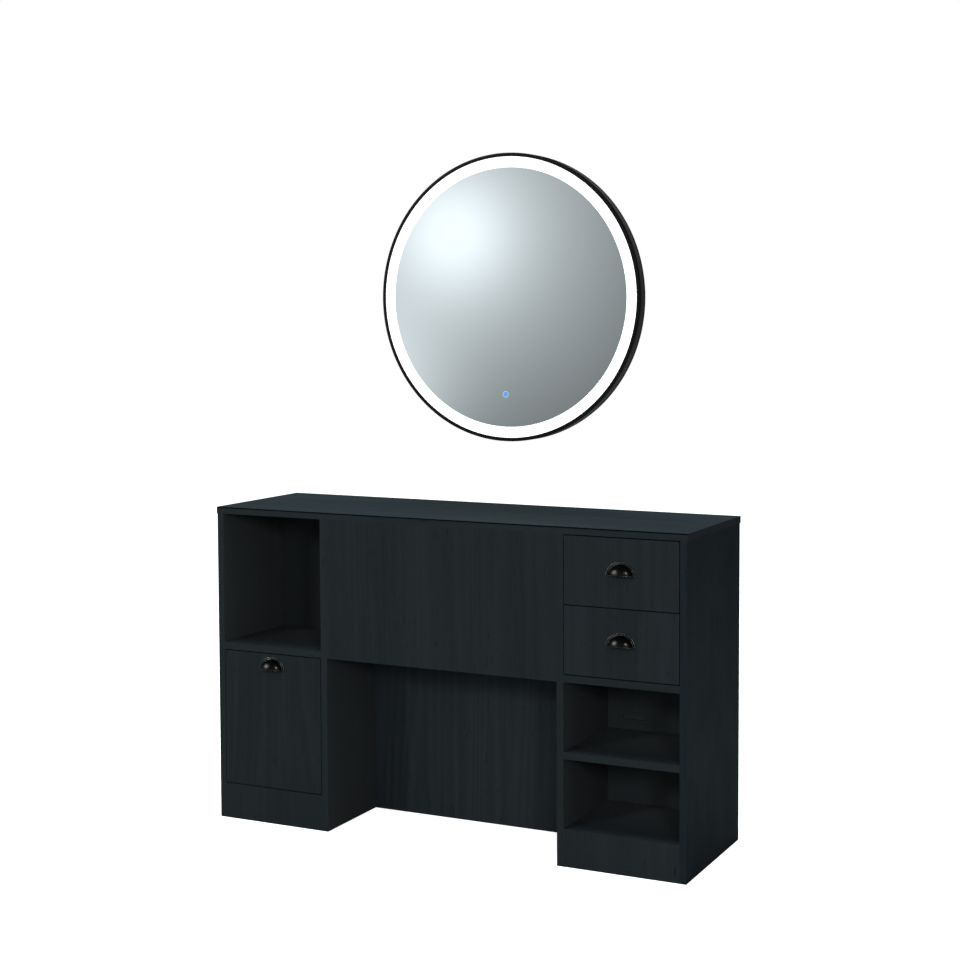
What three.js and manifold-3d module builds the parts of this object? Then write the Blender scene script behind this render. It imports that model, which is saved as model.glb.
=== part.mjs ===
import * as THREE from 'three';
import { mergeVertices } from 'three/addons/utils/BufferGeometryUtils.js';
import Module from 'manifold-3d';

// A salon vanity table with a round lit mirror on the wall above it. The left pedestal has an open
// compartment over a tilt-out hamper, the right one two drawers over two open compartments, and a
// kneehole lies between them. Millimetres: +X right, +Y towards the wall, +Z up, origin on the
// floor under the middle of the whole.

// Carcass
const bodyWidth = 1200;
const tableDepth = 335;
const tableHeight = 750;
const board = 16;
const topOverhang = 2;
const kneeholeWidth = 592;
const kneeholeDepth = 212;
const compartmentDepth = 242;
const backBoard = 12;
const plinthHeight = 84;
const middleShelfTop = 255;
const upperShelfTop = 425;

// Cup pulls
const pullHalfWidth = 35;
const pullFlangeHeight = 30;
const pullFlangeThickness = 1.5;
const pullProjection = 22;
const pullWall = 2;
const pullDomeHalfWidth = 29;
const pullDomeHeight = 25.5;
const pullStudRadius = 2.25;
const pullBelowCentre = 5;
const pullLipLean = 6;

// Drawers and their runners
const frontGap = 2.5;
const frontSideGap = 2;
const drawerCount = 2;
const drawerBoard = 12;
const drawerBoxHeight = 110;
const drawerBoxRise = 14;
const drawerBoxDepth = 213;
const drawerBottom = 4;
const runnerSpace = 12.5;
const runnerHeight = 36;
const runnerLength = 217;
const runnerWall = 1.25;
const runnerBallGap = 1;
const runnerSetback = 2;
const cabinetMemberDepth = 10;
const middleMember = { depth: 11, front: 2, back: -8 };
const drawerMemberBack = -4;

// Tilt-out hamper
const pivotRise = 25.5;
const pivotRadius = 3;
const pivotClearance = 0.08;
const pivotDepth = 12;
const hamperPullFromTop = 6.5;
const binRise = 9.5;
const binBoard = 9;
const binDepth = 200;
const binArcRadius = 280;
const binLugRadius = 289;
const binBackHeight = 150;
const binInset = 8;
const binLugLean = [43, 46.5];
const battenHeight = 14;
const battenDepth = 14.5;
const battenGap = 0.5;
const hingePlate = { front: -5, back: 5, bottom: -14, top: 30, clearance: 0.25 };

// Cable outlet in the right back panel
const outletX = 378.5;
const outletZ = 284;
const outletWidth = 60;
const outletHeight = 16;
const outletFlange = 4;
const outletFlangeThickness = 2;
const outletWall = 2;

// Mirror
const mirrorRadius = 343.5;
const mirrorX = 23.75;
const mirrorZ = 1248.2;
const mirrorDepth = 35;
const mirrorWallGap = 2;
const frameFace = 7.5;
const frameWall = 2;
const frameLedge = 2.5;
const ledgeThickness = 1.5;
const lightRingWidth = 26;
const glassThickness = 4;
const glassRecess = 1.5;
const fitGap = 0.3;
const backPlateThickness = 1.25;
const backPlateRecess = 8;
const ringSteps = 96;
const smallSteps = 32;
const strip = { inset: 8, width: 10, thickness: 1.5 };
const driver = { halfWidth: 85, thickness: 10, bottom: -175, top: -135 };
const touch = { radius: 11, thickness: 3, x: -5, z: -231 };
const gland = { bore: 3, flange: 10, flangeThickness: 2, nose: 6, length: 4.5, z: -200 };

// The two bars that the mirror hangs by, their heights from the mirror's centre
const barSteel = 1.25;
const bracketZ = 204;
const bracketWidth = 200;
const bracketHeight = 30;
const bracketLip = 16;
const bracketSlot = 2;
const slotPlay = 0.375;
const hangerWidth = 180;
const hangerHeight = 36;
const hangerLip = 12;

// Planes and lines worked out from the sizes above
const frontY = pullProjection - (tableDepth + pullProjection) / 2;
const backY = frontY + tableDepth;
const halfWidth = bodyWidth / 2;
const halfKneehole = kneeholeWidth / 2;
const topUnderside = tableHeight - board;
const leftPedestal = [board - halfWidth, -halfKneehole - board];
const rightPedestal = [halfKneehole + board, halfWidth - board];
const compartment = [frontY, frontY + compartmentDepth];
const frontThickness = [frontY, frontY + board];

const finishes = {
  laminate: { color: 0x23292c, roughness: 0.55, metalness: 0 },
  drawerBoard: { color: 0x2c3235, roughness: 0.6, metalness: 0 },
  bronze: { color: 0x2a231d, roughness: 0.35, metalness: 0.9 },
  steel: { color: 0xa9adb0, roughness: 0.35, metalness: 1 },
  blackMetal: { color: 0x0c0c0d, roughness: 0.4, metalness: 0.8 },
  mirrorGlass: { color: 0xc4ccce, roughness: 0.03, metalness: 1 },
  frosted: { color: 0xf7fbff, roughness: 0.5, metalness: 0 },
  whiteSteel: { color: 0xd8d9d8, roughness: 0.5, metalness: 0.3 },
  blackPlastic: { color: 0x141516, roughness: 0.5, metalness: 0 },
  ledStrip: { color: 0xf2eeda, roughness: 0.5, metalness: 0 },
  whitePlastic: { color: 0xe4e5e3, roughness: 0.45, metalness: 0 },
};

const wasm = await Module();
wasm.setup();

function piece(name, geometry, finish) {
  const mesh = new THREE.Mesh(geometry, new THREE.MeshStandardMaterial(finishes[finish]));
  mesh.name = name;
  return mesh;
}

// A rectangular board given by its span along each axis.
function slab(name, finish, [x0, x1], [y0, y1], [z0, z1]) {
  const mesh = piece(name, new THREE.BoxGeometry(x1 - x0, y1 - y0, z1 - z0), finish);
  mesh.position.set((x0 + x1) / 2, (y0 + y1) / 2, (z0 + z1) / 2);
  return mesh;
}

function toSolid(geometry) {
  const bare = geometry.clone();
  bare.deleteAttribute('normal');
  bare.deleteAttribute('uv');
  const welded = mergeVertices(bare);
  const vertProperties = new Float32Array(welded.attributes.position.array);
  const triVerts = new Uint32Array(welded.index.array);
  return new wasm.Manifold(new wasm.Mesh({ numProp: 3, vertProperties, triVerts }));
}

function toGeometry(solid) {
  const mesh = solid.getMesh();
  const geometry = new THREE.BufferGeometry();
  geometry.setAttribute('position', new THREE.BufferAttribute(mesh.vertProperties, 3));
  geometry.setIndex(new THREE.BufferAttribute(mesh.triVerts, 1));
  return geometry;
}

function blockSolid([x0, x1], [y0, y1], [z0, z1]) {
  const geometry = new THREE.BoxGeometry(x1 - x0, y1 - y0, z1 - z0);
  geometry.translate((x0 + x1) / 2, (y0 + y1) / 2, (z0 + z1) / 2);
  return toSolid(geometry);
}

// A cylinder lying along X from x0 to x1.
function crossPinSolid(radius, x0, x1) {
  const geometry = new THREE.CylinderGeometry(radius, radius, x1 - x0, 24);
  geometry.rotateZ(Math.PI / 2);
  geometry.translate((x0 + x1) / 2, 0, 0);
  return toSolid(geometry);
}

// An outline in the X-Z plane, extruded from y0 to y1.
function frontExtrusion(shape, y0, y1, curveSegments = 12) {
  const geometry = new THREE.ExtrudeGeometry(shape, { depth: y1 - y0, bevelEnabled: false, curveSegments });
  geometry.rotateX(Math.PI / 2);
  geometry.translate(0, y1, 0);
  return geometry;
}

function rectanglePath(Path, width, height) {
  const path = new Path();
  path.moveTo(-width / 2, -height / 2);
  path.lineTo(width / 2, -height / 2);
  path.lineTo(width / 2, height / 2);
  path.lineTo(-width / 2, height / 2);
  path.closePath();
  return path;
}

function carcass() {
  const group = new THREE.Group();
  const full = [frontY, backY];
  const upright = [0, topUnderside];
  group.add(
    slab('top_panel', 'laminate', [-halfWidth - topOverhang, halfWidth + topOverhang], full,
      [topUnderside, tableHeight]),
    slab('left_side_panel', 'laminate', [-halfWidth, board - halfWidth], full, upright),
    slab('right_side_panel', 'laminate', [halfWidth - board, halfWidth], full, upright),
    slab('left_divider_panel', 'laminate', [-halfKneehole - board, -halfKneehole], full, upright),
    slab('right_divider_panel', 'laminate', [halfKneehole, halfKneehole + board], full, upright),
    slab('center_apron_panel', 'laminate', [-halfKneehole, halfKneehole], frontThickness,
      [upperShelfTop - board, topUnderside]),
    slab('kneehole_back_panel', 'laminate', [-halfKneehole, halfKneehole],
      [frontY + kneeholeDepth, frontY + kneeholeDepth + board], upright),
    slab('left_shelf', 'laminate', leftPedestal, compartment, [upperShelfTop - board, upperShelfTop]),
    slab('left_back_panel', 'laminate', leftPedestal, [compartment[1], compartment[1] + backBoard], upright),
    slab('drawer_support_shelf', 'laminate', rightPedestal, compartment,
      [upperShelfTop - board, upperShelfTop]),
    slab('middle_shelf', 'laminate', rightPedestal, compartment, [middleShelfTop - board, middleShelfTop]),
    rightBackPanel(),
    cableOutlet(),
  );
  const sides = { left: leftPedestal, right: rightPedestal };
  for (const [side, span] of Object.entries(sides)) {
    group.add(
      slab(`${side}_plinth`, 'laminate', span, frontThickness, [0, plinthHeight]),
      slab(`${side}_bottom_panel`, 'laminate', span, [frontThickness[1], compartment[1]],
        [plinthHeight - board, plinthHeight]),
    );
  }
  return group;
}

function rightBackPanel() {
  const width = rightPedestal[1] - rightPedestal[0];
  const outline = rectanglePath(THREE.Shape, width, topUnderside);
  const hole = rectanglePath(THREE.Path, outletWidth, outletHeight);
  const centreX = (rightPedestal[0] + rightPedestal[1]) / 2;
  const shift = new THREE.Vector2(outletX - centreX, outletZ - topUnderside / 2);
  outline.holes.push(new THREE.Path(hole.getPoints().map((point) => point.add(shift))));
  const mesh = piece('right_back_panel', frontExtrusion(outline, 0, backBoard), 'laminate');
  mesh.position.set(centreX, compartment[1], topUnderside / 2);
  return mesh;
}

// A flange in front of the panel and a collar through its cut-out.
function cableOutlet() {
  const collarWidth = outletWidth - 2 * fitGap;
  const collarHeight = outletHeight - 2 * fitGap;
  const mouth = [collarWidth - 2 * outletWall, collarHeight - 2 * outletWall];
  const flange = rectanglePath(THREE.Shape, outletWidth + 2 * outletFlange, outletHeight + 2 * outletFlange);
  flange.holes.push(rectanglePath(THREE.Path, ...mouth));
  const collar = rectanglePath(THREE.Shape, collarWidth, collarHeight);
  collar.holes.push(rectanglePath(THREE.Path, ...mouth));
  const solid = toSolid(frontExtrusion(flange, -outletFlangeThickness, 0))
    .add(toSolid(frontExtrusion(collar, -outletFlangeThickness, backBoard)));
  const mesh = piece('cable_outlet', toGeometry(solid), 'blackPlastic');
  mesh.position.set(outletX, compartment[1], outletZ);
  return mesh;
}

// A hollow half-moon cup on a thin rim flange, open below for the fingers, its lip rising to the
// front. Its origin is the middle of the bottom edge, on the face that it is screwed to.
function cupPull(name) {
  const dome = (halfX, reach, height) => {
    const geometry = new THREE.SphereGeometry(1, 28, 20);
    geometry.scale(halfX, reach, height);
    return toSolid(geometry);
  };
  const plate = (halfX, height, y0, y1) => {
    const outline = new THREE.Shape();
    outline.absellipse(0, 0, halfX, height, 0, Math.PI, false, 0);
    outline.closePath();
    return toSolid(frontExtrusion(outline, y0, y1, 28));
  };
  const reach = 2 * pullHalfWidth;
  const infront = blockSolid([-reach, reach], [-reach, 0], [0, reach]);
  const below = blockSolid([-reach, reach], [-reach, 0], [-reach, 0]).rotate([-pullLipLean, 0, 0]);
  const hollow = dome(pullDomeHalfWidth - pullWall, pullProjection - pullWall, pullDomeHeight - pullWall);
  const solid = dome(pullDomeHalfWidth, pullProjection, pullDomeHeight)
    .add(crownStud())
    .intersect(infront)
    .subtract(below)
    .add(plate(pullHalfWidth, pullFlangeHeight, -pullFlangeThickness, 0))
    .subtract(hollow);
  return piece(name, toGeometry(solid), 'bronze');
}

// The small round boss at the top of the flange.
function crownStud() {
  const stud = new THREE.SphereGeometry(pullStudRadius, 12, 8);
  stud.translate(0, -pullFlangeThickness, (pullFlangeHeight + pullDomeHeight) / 2);
  return toSolid(stud);
}

// A channel along Y. wallX is its web's outer face, lipX where its lips end.
function channel(name, wallX, lipX, height, wall, y0, y1) {
  const inward = Math.sign(lipX - wallX);
  const top = height / 2;
  const outline = new THREE.Shape();
  outline.moveTo(wallX, -top);
  outline.lineTo(lipX, -top);
  outline.lineTo(lipX, wall - top);
  outline.lineTo(wallX + inward * wall, wall - top);
  outline.lineTo(wallX + inward * wall, top - wall);
  outline.lineTo(lipX, top - wall);
  outline.lineTo(lipX, top);
  outline.lineTo(wallX, top);
  outline.closePath();
  return piece(name, frontExtrusion(outline, y0, y1), 'steel');
}

// The three nested members of one runner, on the drawer's left or right.
function runner(prefix, side, wallX, centreZ) {
  const handed = side === 'left' ? 1 : -1;
  const start = frontY + board + runnerSetback;
  const end = start + runnerLength;
  const nest = runnerWall + runnerBallGap;
  const members = [
    channel(`${prefix}_${side}_runner_cabinet_member`, 0, handed * cabinetMemberDepth,
      runnerHeight, runnerWall, start, end),
    channel(`${prefix}_${side}_runner_middle_member`, handed * nest, handed * middleMember.depth,
      runnerHeight - 2 * nest, runnerWall, start + middleMember.front, end + middleMember.back),
    channel(`${prefix}_${side}_runner_drawer_member`, handed * runnerSpace, handed * 2 * nest,
      runnerHeight - 4 * nest, runnerWall, start, end + drawerMemberBack),
  ];
  for (const member of members) member.position.set(wallX, 0, centreZ);
  return members;
}

function drawer(prefix, frontBottom, frontHeight) {
  const group = new THREE.Group();
  const [x0, x1] = rightPedestal;
  const left = x0 + runnerSpace;
  const right = x1 - runnerSpace;
  const boxY = [frontThickness[1], frontThickness[1] + drawerBoxDepth];
  const boxZ = [frontBottom + drawerBoxRise, frontBottom + drawerBoxRise + drawerBoxHeight];
  const inner = [left + drawerBoard, right - drawerBoard];
  const pull = cupPull(`${prefix}_drawer_pull`);
  pull.position.set((x0 + x1) / 2, frontY, frontBottom + frontHeight / 2 - pullBelowCentre);
  group.add(
    slab(`${prefix}_drawer_front`, 'laminate', [x0 + frontSideGap, x1 - frontSideGap], frontThickness,
      [frontBottom, frontBottom + frontHeight]),
    slab(`${prefix}_drawer_left_side`, 'drawerBoard', [left, left + drawerBoard], boxY, boxZ),
    slab(`${prefix}_drawer_right_side`, 'drawerBoard', [right - drawerBoard, right], boxY, boxZ),
    slab(`${prefix}_drawer_back`, 'drawerBoard', inner, [boxY[1] - drawerBoard, boxY[1]], boxZ),
    slab(`${prefix}_drawer_bottom`, 'drawerBoard', inner, [boxY[0], boxY[1] - drawerBoard],
      [boxZ[0] + drawerBottom, boxZ[0] + 2 * drawerBottom]),
    pull,
    ...runner(prefix, 'left', x0, (boxZ[0] + boxZ[1]) / 2),
    ...runner(prefix, 'right', x1, (boxZ[0] + boxZ[1]) / 2),
  );
  return group;
}

function drawers() {
  const group = new THREE.Group();
  const space = topUnderside - upperShelfTop;
  const frontHeight = (space - (drawerCount + 1) * frontGap) / drawerCount;
  ['lower', 'upper'].forEach((prefix, row) => {
    group.add(drawer(prefix, upperShelfTop + frontGap + row * (frontHeight + frontGap), frontHeight));
  });
  return group;
}

// The tilt-out hamper, drawn about its pivot: the group's origin lies on the pivot's axis.
function hamper() {
  const group = new THREE.Group();
  const [x0, x1] = leftPedestal;
  const centreX = (x0 + x1) / 2;
  const half = (x1 - x0) / 2;
  const doorHalf = half - frontSideGap;
  const below = -pivotRise;
  const top = upperShelfTop - board - frontGap - (plinthHeight + frontGap) - pivotRise;
  group.position.set(centreX, frontY + board / 2, plinthHeight + frontGap + pivotRise);
  const doorBack = board / 2;
  const binHalf = doorHalf - binInset;
  const floor = below + binRise;
  const boxX = [binBoard - binHalf, binHalf - binBoard];
  const pull = cupPull('hamper_pull');
  pull.position.set(0, -board / 2, top - hamperPullFromTop - pullFlangeHeight);
  group.add(
    hamperDoor(doorHalf, below, top),
    pull,
    binCheek('bin_left_cheek', -binHalf, doorBack, floor),
    binCheek('bin_right_cheek', binHalf - binBoard, doorBack, floor),
    slab('bin_back', 'drawerBoard', boxX, [doorBack + binDepth - binBoard, doorBack + binDepth],
      [floor, floor + binBackHeight]),
    slab('bin_bottom', 'drawerBoard', boxX, [doorBack, doorBack + binDepth - binBoard],
      [floor, floor + binBoard]),
    pivotHinge('left_pivot_hinge', -half, 1),
    pivotHinge('right_pivot_hinge', half, -1),
    slab('hamper_stop_batten', 'drawerBoard', [-half, half],
      [doorBack + battenGap, doorBack + battenGap + battenDepth],
      [top + frontGap - battenHeight, top + frontGap]),
  );
  return group;
}

function hamperDoor(doorHalf, below, top) {
  const bore = pivotRadius + pivotClearance;
  const depth = pivotDepth + fitGap;
  const solid = blockSolid([-doorHalf, doorHalf], [-board / 2, board / 2], [below, top])
    .subtract(crossPinSolid(bore, -doorHalf - 1, depth - doorHalf))
    .subtract(crossPinSolid(bore, doorHalf - depth, doorHalf + 1));
  return piece('hamper_door', toGeometry(solid), 'laminate');
}

// A plate screwed to the pedestal's wall, with a stud that the door turns on.
function pivotHinge(name, wallX, inward) {
  const span = (length) => [wallX, wallX + inward * length].sort((a, b) => a - b);
  const plate = span(frontSideGap - hingePlate.clearance);
  const solid = blockSolid(plate, [hingePlate.front, hingePlate.back], [hingePlate.bottom, hingePlate.top])
    .add(crossPinSolid(pivotRadius, ...span(frontSideGap + pivotDepth)));
  return piece(name, toGeometry(solid), 'steel');
}

// A cheek whose upper edge is an arc about the pivot, with a lug that meets the stop batten.
function binCheek(name, x0, doorBack, floor) {
  const [lugFrom, lugTo] = binLugLean.map(THREE.MathUtils.degToRad);
  const onArc = (radius, lean) => [radius * Math.sin(lean), radius * Math.cos(lean)];
  const rear = doorBack + binDepth;
  const rearLean = Math.asin(rear / binArcRadius);
  const frontLean = Math.asin(doorBack / binArcRadius);
  const outline = new THREE.Shape();
  outline.moveTo(doorBack, floor);
  outline.lineTo(rear, floor);
  outline.lineTo(...onArc(binArcRadius, rearLean));
  outline.absarc(0, 0, binArcRadius, Math.PI / 2 - rearLean, Math.PI / 2 - lugTo, false);
  outline.absarc(0, 0, binLugRadius, Math.PI / 2 - lugTo, Math.PI / 2 - lugFrom, false);
  outline.absarc(0, 0, binArcRadius, Math.PI / 2 - lugFrom, Math.PI / 2 - frontLean, false);
  outline.closePath();
  const options = { depth: binBoard, bevelEnabled: false, curveSegments: 16 };
  const geometry = new THREE.ExtrudeGeometry(outline, options);
  geometry.rotateX(Math.PI / 2);
  geometry.rotateZ(Math.PI / 2);
  const mesh = piece(name, geometry, 'drawerBoard');
  mesh.position.x = x0;
  return mesh;
}

// A ring about the mirror's axis, from a closed profile of [radius, y] corners.
function ring(name, finish, profile, steps = ringSteps) {
  const points = [...profile, profile[0]].map(([radius, y]) => new THREE.Vector2(radius, y));
  return piece(name, new THREE.LatheGeometry(points, steps), finish);
}

function disc(name, finish, radius, y0, y1, steps = ringSteps) {
  const mesh = piece(name, new THREE.CylinderGeometry(radius, radius, y1 - y0, steps), finish);
  mesh.position.y = (y0 + y1) / 2;
  return mesh;
}

// The mirror, drawn about its axis: y = 0 is the wall.
function mirror() {
  const group = new THREE.Group();
  group.position.set(mirrorX, backY, mirrorZ);
  const front = -mirrorDepth;
  const rear = -mirrorWallGap;
  const lipInner = mirrorRadius - frameFace;
  const wallInner = mirrorRadius - frameWall;
  const ledgeInner = lipInner - frameLedge;
  const glassFront = front + glassRecess;
  const glassBack = glassFront + glassThickness;
  const ledge = [glassBack + fitGap, glassBack + fitGap + ledgeThickness];
  const lightOuter = lipInner - fitGap;
  const lightInner = lightOuter - lightRingWidth;
  const plateY = [rear - backPlateRecess, rear - backPlateRecess + backPlateThickness];
  const inside = plateY[0] - fitGap;
  const behind = plateY[1] + fitGap;
  group.add(
    ring('mirror_frame', 'blackMetal', [[lipInner, front], [mirrorRadius, front], [mirrorRadius, rear],
      [wallInner, rear], [wallInner, ledge[1]], [ledgeInner, ledge[1]], [ledgeInner, ledge[0]],
      [lipInner, ledge[0]]]),
    disc('mirror_glass', 'mirrorGlass', lightInner - fitGap, glassFront, glassBack),
    ring('light_ring', 'frosted', [[lightInner, glassFront], [lightOuter, glassFront],
      [lightOuter, glassBack], [lightInner, glassBack]]),
    ledStrip(lightInner + strip.inset, inside),
    disc('mirror_back_plate', 'whiteSteel', wallInner - fitGap, ...plateY),
    slab('led_driver', 'whitePlastic', [-driver.halfWidth, driver.halfWidth],
      [inside - driver.thickness, inside], [driver.bottom, driver.top]),
    touchSensor(glassBack + fitGap),
    hanger(behind),
    wallBracket(),
    cableGland(behind),
  );
  return group;
}

function ledStrip(inner, y1) {
  const y0 = y1 - strip.thickness;
  const outer = inner + strip.width;
  return ring('led_strip', 'ledStrip', [[inner, y0], [outer, y0], [outer, y1], [inner, y1]]);
}

function touchSensor(y0) {
  const mesh = disc('touch_sensor', 'blackPlastic', touch.radius, y0, y0 + touch.thickness, smallSteps);
  mesh.position.x = touch.x;
  mesh.position.z = touch.z;
  return mesh;
}

// The hanger's down-turned lip drops behind the bracket's up-turned one.
function hanger(y0) {
  const span = [-hangerWidth / 2, hangerWidth / 2];
  const lipY = [slotPlay - bracketSlot - barSteel, -barSteel - slotPlay];
  const seat = bracketZ + bracketLip + fitGap;
  const solid = blockSolid(span, [y0, y0 + barSteel], [seat, seat + hangerHeight])
    .add(blockSolid(span, [y0, lipY[1]], [seat, seat + barSteel]))
    .add(blockSolid(span, lipY, [seat - hangerLip, seat + barSteel]));
  return piece('mirror_hanger', toGeometry(solid), 'steel');
}

function wallBracket() {
  const span = [-bracketWidth / 2, bracketWidth / 2];
  const lipFront = -2 * barSteel - bracketSlot;
  const solid = blockSolid(span, [-barSteel, 0], [bracketZ - bracketHeight, bracketZ + barSteel])
    .add(blockSolid(span, [lipFront, 0], [bracketZ, bracketZ + barSteel]))
    .add(blockSolid(span, [lipFront, lipFront + barSteel], [bracketZ, bracketZ + bracketLip]));
  return piece('mirror_wall_bracket', toGeometry(solid), 'steel');
}

function cableGland(y0) {
  const { bore, flange, flangeThickness, nose, length, z } = gland;
  const mesh = ring('cable_gland', 'blackPlastic', [[bore, y0], [flange, y0],
    [flange, y0 + flangeThickness], [nose, y0 + length], [bore, y0 + length]], smallSteps);
  mesh.position.z = z;
  return mesh;
}

const vanity = new THREE.Group();
vanity.add(carcass(), drawers(), hamper(), mirror());

export default vanity;
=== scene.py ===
import math
import random

import bmesh
import bpy
from mathutils import Matrix, Vector


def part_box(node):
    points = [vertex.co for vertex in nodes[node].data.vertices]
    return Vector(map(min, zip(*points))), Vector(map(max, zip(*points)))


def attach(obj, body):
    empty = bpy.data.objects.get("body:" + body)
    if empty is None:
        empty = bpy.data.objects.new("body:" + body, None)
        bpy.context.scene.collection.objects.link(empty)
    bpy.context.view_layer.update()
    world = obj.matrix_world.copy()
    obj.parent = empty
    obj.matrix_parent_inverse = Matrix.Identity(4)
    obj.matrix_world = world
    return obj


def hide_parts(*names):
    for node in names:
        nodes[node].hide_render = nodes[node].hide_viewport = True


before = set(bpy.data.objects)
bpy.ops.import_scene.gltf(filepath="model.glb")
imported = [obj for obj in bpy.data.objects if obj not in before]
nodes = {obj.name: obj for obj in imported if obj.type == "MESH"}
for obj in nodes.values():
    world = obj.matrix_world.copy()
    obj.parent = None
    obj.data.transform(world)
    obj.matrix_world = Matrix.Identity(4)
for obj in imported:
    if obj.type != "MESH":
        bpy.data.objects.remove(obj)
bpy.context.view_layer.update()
print("frame loaded,", len(nodes), "nodes")

# camera, floor and lights

cameraView = {"place": (1.8582, -3.4408, 1.2221), "yaw": 23.946, "pitch": -3.168, "lens": 63.122,
              "sensor": 36, "shift": (-0.125, -0.0815)}


def addCamera():
    data = bpy.data.cameras.new("viewCamera")
    data.lens = cameraView["lens"]
    data.sensor_width = cameraView["sensor"]
    data.shift_x, data.shift_y = cameraView["shift"]
    camera = bpy.data.objects.new("viewCamera", data)
    camera.location = cameraView["place"]
    tilt = math.radians(90 + cameraView["pitch"])
    camera.rotation_euler = (tilt, 0, math.radians(cameraView["yaw"]))
    bpy.context.scene.collection.objects.link(camera)
    bpy.context.scene.camera = camera


studio = {
    "floorRadius": 9.0,
    "floorDrop": 0.0005,
    "floorColor": (0.90, 0.90, 0.895, 1),
    "floorGlow": 0.82,
    "floorBounce": (0.21, 0.21, 0.21, 1),
    "backdrop": (1.0, 1.0, 1.0, 1),
    "tentFront": (0.70, 0.70, 0.70, 1),
    "tentRear": (0.32, 0.32, 0.32, 1),
    "sheenFront": (0.136, 0.136, 0.136, 1),
    "sheenRear": (0.035, 0.050, 0.055, 1),
    "sheenAbove": (0.05, 0.05, 0.05, 1),
}

softboxes = {
    "overheadSoftbox": {"place": (-0.3, 0.1, 4.4), "aim": (0.0, 0.0, 0.7), "size": (2.0, 2.2), "power": 240,
                        "color": (0.88, 1.0, 1.0)},
    "leftKey": {"place": (-2.3, -4.7, 2.45), "aim": (0.0, 0.0, 0.5), "size": (0.6, 0.6), "power": 78,
                "color": (1.0, 1.0, 1.0)},
    "rightKey": {"place": (3.2, -4.3, 1.9), "aim": (0.0, 0.0, 0.5), "size": (0.8, 0.8), "power": 82,
                 "color": (1.0, 1.0, 1.0)},
}

# soft glows in front of the object, seen only in glossy surfaces: the first three make the
# graduated patch in the mirror glass, the boxes put the highlights on the metal pulls
glows = {
    "broad": {"turn": -29.1, "rise": 2.9, "width": 5.95, "strength": 0.55, "edge": 1.0},
    "tight": {"turn": -28.9, "rise": 2.5, "width": 2.1, "strength": 0.52, "edge": 1.0},
    "low": {"turn": -32.6, "rise": -2.9, "width": 2.9, "strength": 0.78, "edge": 1.0},
    "leftBox": {"turn": -47.5, "rise": 21.0, "width": 13.0, "strength": 6.5, "edge": 2.0},
    "rightBox": {"turn": 46.0, "rise": 25.0, "width": 8.5, "strength": 9.0, "edge": 2.0},
}


def makeMaterial(name):
    material = bpy.data.materials.new(name)
    material.use_nodes = True
    tree = material.node_tree
    tree.nodes.clear()
    output = tree.nodes.new("ShaderNodeOutputMaterial")
    return material, tree, output


def addNode(tree, kind, inputs=None, **settings):
    node = tree.nodes.new(kind)
    for key, value in settings.items():
        setattr(node, key, value)
    for key, value in (inputs or {}).items():
        if isinstance(value, bpy.types.NodeSocket):
            tree.links.new(value, node.inputs[key])
        else:
            node.inputs[key].default_value = value
    return node


def addSurface(tree, output, inputs):
    shader = addNode(tree, "ShaderNodeBsdfPrincipled", inputs)
    tree.links.new(shader.outputs["BSDF"], output.inputs["Surface"])


def math2(tree, operation, a, b):
    return addNode(tree, "ShaderNodeMath", {0: a, 1: b}, operation=operation).outputs[0]


def axisOf(tree, vector, axis):
    return addNode(tree, "ShaderNodeSeparateXYZ", {0: vector}).outputs[axis]


def facing(tree, axis):
    return axisOf(tree, addNode(tree, "ShaderNodeNewGeometry").outputs["True Normal"], axis)


def unsigned(tree, value):
    return addNode(tree, "ShaderNodeMath", {0: value}, operation="ABSOLUTE").outputs[0]


def remap(tree, value, low, high, toLow=0.0, toHigh=1.0):
    return addNode(tree, "ShaderNodeMapRange", {
        "Value": value, "From Min": low, "From Max": high,
        "To Min": toLow, "To Max": toHigh}).outputs["Result"]


def mixColor(tree, factor, first, second):
    node = tree.nodes.new("ShaderNodeMix")
    node.data_type = "RGBA"
    for index, value in ((0, factor), (6, first), (7, second)):
        if isinstance(value, bpy.types.NodeSocket):
            tree.links.new(value, node.inputs[index])
        else:
            node.inputs[index].default_value = value
    return node.outputs[2]


def addFloor():
    bpy.ops.mesh.primitive_circle_add(vertices=96, radius=studio["floorRadius"], fill_type="NGON")
    floor = bpy.context.object
    floor.name = "studioFloor"
    floor.location.z = -studio["floorDrop"]
    material, tree, output = makeMaterial("paleFloor")
    seen = addNode(tree, "ShaderNodeBsdfPrincipled", {
        "Base Color": studio["floorColor"], "Roughness": 0.9, "Specular IOR Level": 0.0,
        "Emission Color": (1, 1, 1, 1), "Emission Strength": studio["floorGlow"]})
    felt = addNode(tree, "ShaderNodeBsdfDiffuse", {"Color": studio["floorBounce"]})
    isSeen = addNode(tree, "ShaderNodeLightPath").outputs["Is Camera Ray"]
    both = addNode(tree, "ShaderNodeMixShader", {0: isSeen, 1: felt.outputs[0], 2: seen.outputs[0]})
    tree.links.new(both.outputs[0], output.inputs["Surface"])
    floor.data.materials.append(material)


def addSoftbox(name, values):
    data = bpy.data.lights.new(name, "AREA")
    data.shape = "RECTANGLE"
    data.size, data.size_y = values["size"]
    data.energy = values["power"]
    data.color = values["color"]
    light = bpy.data.objects.new(name, data)
    light.location = values["place"]
    direction = Vector(values["aim"]) - light.location
    light.rotation_euler = direction.to_track_quat("-Z", "Y").to_euler()
    light.visible_glossy = False
    bpy.context.scene.collection.objects.link(light)


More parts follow.
